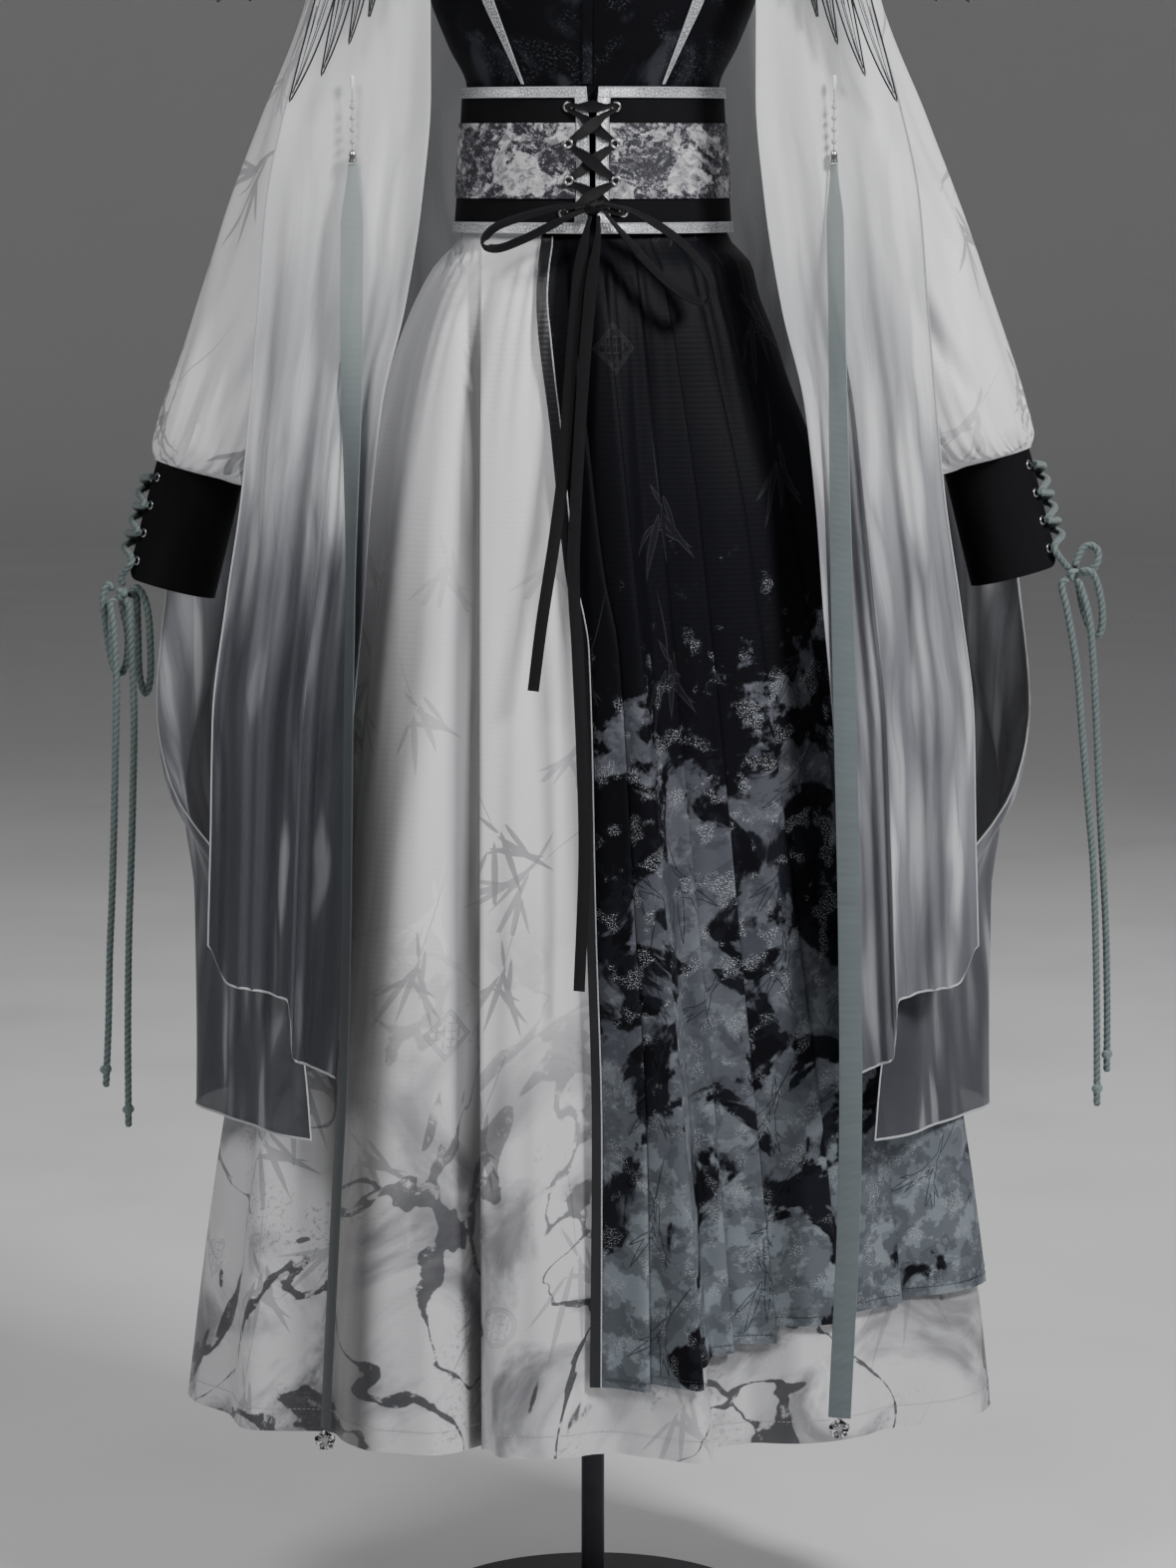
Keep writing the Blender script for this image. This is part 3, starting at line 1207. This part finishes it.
def build_sleeves():
    """Bishop sleeves, laced cuffs and the cuffs' cords."""
    right = sleeve_grid()
    left = mirrored(lowered(right, LEFT_CUFF_DROP))
    wall("sleeve_right", right, THIN_WALL, "white_satin", closed=True)
    wall("sleeve_left", left, THIN_WALL, "white_satin", closed=True)
    cuff = cuff_grid()
    wall("cuff_right", cuff, VELVET_WALL, "velvet")
    wall("cuff_left", mirrored(lowered(cuff, LEFT_CUFF_DROP)), VELVET_WALL, "velvet")
    lacing = lacing_route()
    left_lacing = other_side(lacing, LEFT_CUFF_DROP)
    cord("cuff_lacing_right", lacing + [RIGHT_LACING_END], CORD_RADIUS, 0.0125, "sage_cord")
    cord("cuff_lacing_left", left_lacing + [LEFT_LACING_END], CORD_RADIUS, 0.0125, "sage_cord")
    knob("cuff_knot_right", RIGHT_KNOT, CUFF_KNOT_SIZE, "sage_cord")
    knob("cuff_knot_left", LEFT_KNOT, CUFF_KNOT_SIZE, "sage_cord")
    for name, route in (("cuff_loop_left_a", LEFT_LOOP_A), ("cuff_loop_left_b", LEFT_LOOP_B),
                        ("cuff_loop_right_a", RIGHT_LOOP_A), ("cuff_loop_right_b", RIGHT_LOOP_B)):
        cord(name, route, CORD_RADIUS, 0.0150, "sage_cord")
    for name, route in (("cuff_tail_left_a", LEFT_TAIL_A), ("cuff_tail_left_b", LEFT_TAIL_B),
                        ("cuff_tail_right_a", RIGHT_TAIL_A), ("cuff_tail_right_b", RIGHT_TAIL_B)):
        cord(name, route, CORD_RADIUS, 0.018, "sage_cord")


# Cape

def cape_top(across):
    """Upper edge of the right cape front, on the shoulder."""
    return read(CAPE_TOP, 1, across), read(CAPE_TOP, 2, across)


def cape_front_point(across, height):
    """A point on the right cape front. `across` is 0 at its inner edge and 1 at its outer edge."""
    top_x, top_z = cape_top(across)
    below = max(0.0, top_z - height)
    x = mix(read(CAPE_FRONT, 1, height), read(CAPE_FRONT, 2, height), across)
    x = mix(top_x, x, ease(0.0, 0.12, below))
    out = mix(read(CAPE_DROP, 1, below), read(CAPE_DROP, 2, below), across)
    fullness = ease(0.10, 0.60, below)
    ripple = CAPE_RIPPLE_DEPTH * fullness * math.cos(2 * math.pi * CAPE_RIPPLES * across + 0.6)
    lap = CAPE_FOLD_STEP * ease(CAPE_FOLD_AT - CAPE_FOLD_RUN, CAPE_FOLD_AT + CAPE_FOLD_RUN, across)
    return Vector((x, -(out + ripple + lap * ease(0.35, 0.65, below)), height))


def cape_front_hem(across):
    """Height of the cape front's hem: lower inside its lapped fold, and rounded at the outer corner."""
    step = ease(CAPE_FOLD_AT - CAPE_FOLD_RUN, CAPE_FOLD_AT + CAPE_FOLD_RUN, across)
    corner = 0.035 * ease(0.80, 1.0, across) ** 2
    return mix(CAPE_HEM_LOW, CAPE_HEM_HIGH, step) + corner


def cape_height(top, hem, row):
    """Height of a row of the cape: the first rows follow the shoulder, the others share the drop."""
    first = CAPE_SHOULDER_ROWS[-1]
    if row < len(CAPE_SHOULDER_ROWS):
        return top - CAPE_SHOULDER_ROWS[row]
    share = (row - len(CAPE_SHOULDER_ROWS) + 1) / CAPE_LOWER_ROWS
    return mix(top - first, hem, share)


def cape_front_grid():
    """Right cape front, denser near the shoulder."""
    grid = []
    for row in range(len(CAPE_SHOULDER_ROWS) + CAPE_LOWER_ROWS):
        heights = [cape_height(cape_top(across)[1], cape_front_hem(across), row) for across in CAPE_COLUMNS]
        grid.append([cape_front_point(across, height) for across, height in zip(CAPE_COLUMNS, heights)])
    return grid


def back_of_bodice(x, height):
    """How far back the bodice reaches at a place seen from behind."""
    half = read(FORM, 1, height) + BODICE_CAST
    if abs(x) >= half:
        return -1.0
    return read(FORM, 3, height) + (read(FORM, 2, height) + BODICE_CAST) * math.sqrt(1 - (x / half) ** 2)


def cape_back_top(across):
    """Upper edge of the cape back, from the nape at 0 to the right shoulder at 1."""
    if across < NECK_SHARE:
        bearing = mix(90.0, 8.0, across / NECK_SHARE)
        return bodice_point(NECK_SIDE - 0.001, bearing, BODICE_CAST + SHEER_WALL + CAPE_OFF_NECK)
    x, z = cape_top((across - NECK_SHARE) / (1 - NECK_SHARE))
    return Vector((x, read(CAPE_DROP, 1, 0.0), z))


def cape_back_point(across, height):
    """A point on the right half of the cape back."""
    top = cape_back_top(across)
    below = top.z - height
    angle = math.radians(read(CAPE_BACK, 4, height) * across)
    ripple = CAPE_BACK_RIPPLE_DEPTH * ease(0.15, 0.75, below) * math.cos(math.pi * CAPE_BACK_RIPPLES * across)
    x = read(CAPE_BACK, 1, height) * math.sin(angle) + ripple * math.sin(angle)
    y = read(CAPE_BACK, 3, height) + (read(CAPE_BACK, 2, height) + ripple) * math.cos(angle)
    x = mix(top.x, x, ease(0.0, 0.10, below))
    shoulder = max(top.y, read(CAPE_DROP, 1, below), back_of_bodice(x, height) + CAPE_OFF_BODICE)
    y = mix(shoulder, y, ease(0.03, 0.16, below))
    if below < 0.2:
        y = max(y, back_of_bodice(x, height) + CAPE_OFF_BODICE)
    return Vector((x, y, height))


def cape_back_grid():
    """Whole cape back, from the right edge round to the left edge."""
    grid = []
    half = CAPE_BACK_COLUMNS // 2
    for row in range(len(CAPE_SHOULDER_ROWS) + CAPE_LOWER_ROWS):
        right = []
        for k in range(half + 1):
            across = 1 - k / half
            right.append(cape_back_point(across, cape_height(cape_back_top(across).z, CAPE_BACK_HEM, row)))
        left = [Vector((-p.x, p.y, p.z)) for p in reversed(right[:-1])]
        grid.append(right + left)
    return grid


def build_cape():
    """Sheer cape: two fronts over the arms and one back behind them."""
    front = cape_front_grid()
    wall("cape_front_right", front, SHEER_WALL, "sheer")
    wall("cape_front_left", mirrored(front), SHEER_WALL, "sheer")
    wall("cape_back", cape_back_grid(), SHEER_WALL, "sheer")


# Feather pieces

def feather_reach():
    """Length of the feather piece against bearing: tips from the table, notches between them."""
    reach = []
    for i, tip in enumerate(FEATHERS):
        reach.append((tip.bearing, tip.length))
        if i + 1 < len(FEATHERS):
            after = FEATHERS[i + 1]
            notch = FEATHER_NOTCH * min(tip.length, after.length)
            reach.append(((tip.bearing + after.bearing) / 2, notch))
    return reach


def cape_face_y(x, height):
    """Front face of the right cape front at a place seen from the front."""
    low = 0.0
    high = 1.0
    for _step in range(20):
        middle = (low + high) / 2
        if cape_front_point(middle, height).x < x:
            low = middle
        else:
            high = middle
    return cape_front_point(low, height).y


def feather_point(bearing, reach):
    """A point on the right feather piece, which lies over the cape's shoulder."""
    angle = math.radians(bearing)
    x = FEATHER_ROOT.x + reach * math.sin(angle)
    z = FEATHER_ROOT.z - reach * math.cos(angle)
    lift = mix(SHEER_WALL + SEAM * 4, FEATHER_LIFT, ease(FEATHER_START, 0.12, reach))
    beyond = max(read(CAPE_DROP, 1, reach), read(CAPE_DROP, 2, reach)) if reach > 0.10 else 0.0
    return Vector((x, min(cape_face_y(x, z), -beyond) - lift, z))


def build_feathers():
    """Fans of long feathers that hang from the shoulders."""
    reach = feather_reach()
    bearings = [reach[0][0] - 1.2]
    lengths = [reach[0][1] * FEATHER_NOTCH]
    for bearing, length in reach:
        bearings.append(bearing)
        lengths.append(length)
    bearings.append(reach[-1][0] + 1.6)
    lengths.append(reach[-1][1] * FEATHER_NOTCH)
    tips = list(zip(bearings, lengths))
    grid = []
    for share in FEATHER_ROWS:
        grid.append([feather_point(at, mix(FEATHER_START, length, share)) for at, length in tips])
    back = [[point + Vector((0.0, SHEER_WALL * 1.1, 0.0)) for point in line] for line in grid]
    shell("feather_right", grid, back, "organza")
    shell("feather_left", mirrored(grid), mirrored(back), "organza")


# Beads, ribbons and pendants

def bead_profile():
    """Radius and height down a bead string: charm, pearls on a thread, and a cap."""
    rows = [(0.0012, BEAD_TOP), (0.0026, BEAD_TOP - 0.0020), (0.0030, BEAD_TOP - 0.0060),
            (0.0012, BEAD_TOP - 0.0100), (STRING_RADIUS, BEAD_TOP - 0.0120)]
    for middle in PEARL_HEIGHTS:
        rows += [(STRING_RADIUS, middle + BEAD_RADIUS), (BEAD_RADIUS, middle + BEAD_RADIUS * 0.4),
                 (BEAD_RADIUS, middle - BEAD_RADIUS * 0.4), (STRING_RADIUS, middle - BEAD_RADIUS)]
    rows += [(STRING_RADIUS, BEAD_CAP_BOTTOM + 0.0100), (BEAD_RADIUS, BEAD_CAP_BOTTOM + 0.0060),
             (BEAD_RADIUS, BEAD_CAP_BOTTOM)]
    return rows


def ribbon_points(route, clearance):
    """A ribbon's route laid on the cape's face, then straight down past its hem."""
    points = []
    floor_y = 0.0
    for x, height in route:
        y = cape_face_y(abs(x), max(height, CAPE_HEM_LOW)) - clearance
        floor_y = min(floor_y, y)
        points.append(Vector((x, floor_y, height)))
    return points


def build_hangings():
    """On each side a bead string on the cape, a long ribbon under it and a pendant at its end."""
    bead_y = min(cape_face_y(BEAD_X, height) for height in (1.26, 1.23, 1.20)) - BEAD_RADIUS - 0.0038
    left = ribbon_points(LEFT_RIBBON_ROUTE, 0.0105)
    right = ribbon_points(RIGHT_RIBBON_ROUTE, 0.0150)
    left[0].y = bead_y
    right[0].y = bead_y
    flat = Vector((1.0, -0.15, 0.0))
    for word, sign, points in (("left", -1, left), ("right", 1, right)):
        turned("beads_" + word, bead_profile(), BEAD_SIDES, "pearl", (sign * BEAD_X, bead_y))

        def across(share, sign=sign):
            turn = math.radians(35.0) * (1 - ease(0.10, 0.45, share)) if sign > 0 else 0.0
            return Vector((flat.x * math.cos(turn), flat.y - math.sin(turn), 0.0))

        points[0].x = sign * BEAD_X
        strip("ribbon_" + word, smooth_route(points, 0.045), across,
              lambda share: mix(RIBBON_PINCH, RIBBON_WIDTH, ease(0.0, 0.05, share)),
              RIBBON_THICKNESS, "sage_ribbon")
        build_pendant("pendant_" + word, points[-1])


def build_pendant(name, ribbon_end):
    """A flat lobed ornament under the ribbon's end."""
    centre = ribbon_end - Vector((0.0, 0.0, PENDANT_RADIUS + SEAM))
    sides = PENDANT_LOBES * 4
    half = PENDANT_THICKNESS / 2
    points = []
    for depth, scale in ((-half, 0.86), (0.0, 1.0), (half, 0.86)):
        for k in range(sides):
            angle = 2 * math.pi * (k + 2) / sides
            radius = PENDANT_RADIUS * scale * (0.93 + 0.07 * math.cos(PENDANT_LOBES * angle))
            points.append(centre + Vector((radius * math.sin(angle), depth, radius * math.cos(angle))))
    faces = [list(range(sides)), list(range(3 * sides - 1, 2 * sides - 1, -1))]
    for i in range(2):
        for k in range(sides):
            after = (k + 1) % sides
            faces.append([i * sides + k, i * sides + after, (i + 1) * sides + after, (i + 1) * sides + k])
    solid(name, points, faces, "steel")


def main():
    """Clear the scene and build every piece."""
    for old in list(bpy.data.objects):
        bpy.data.objects.remove(old)
    build_stand()
    build_form()
    build_bodice()
    build_corset()
    build_eyelets()
    build_corset_lace()
    build_white_skirt()
    build_black_panel()
    build_sleeves()
    build_cape()
    build_feathers()
    build_hangings()


main()
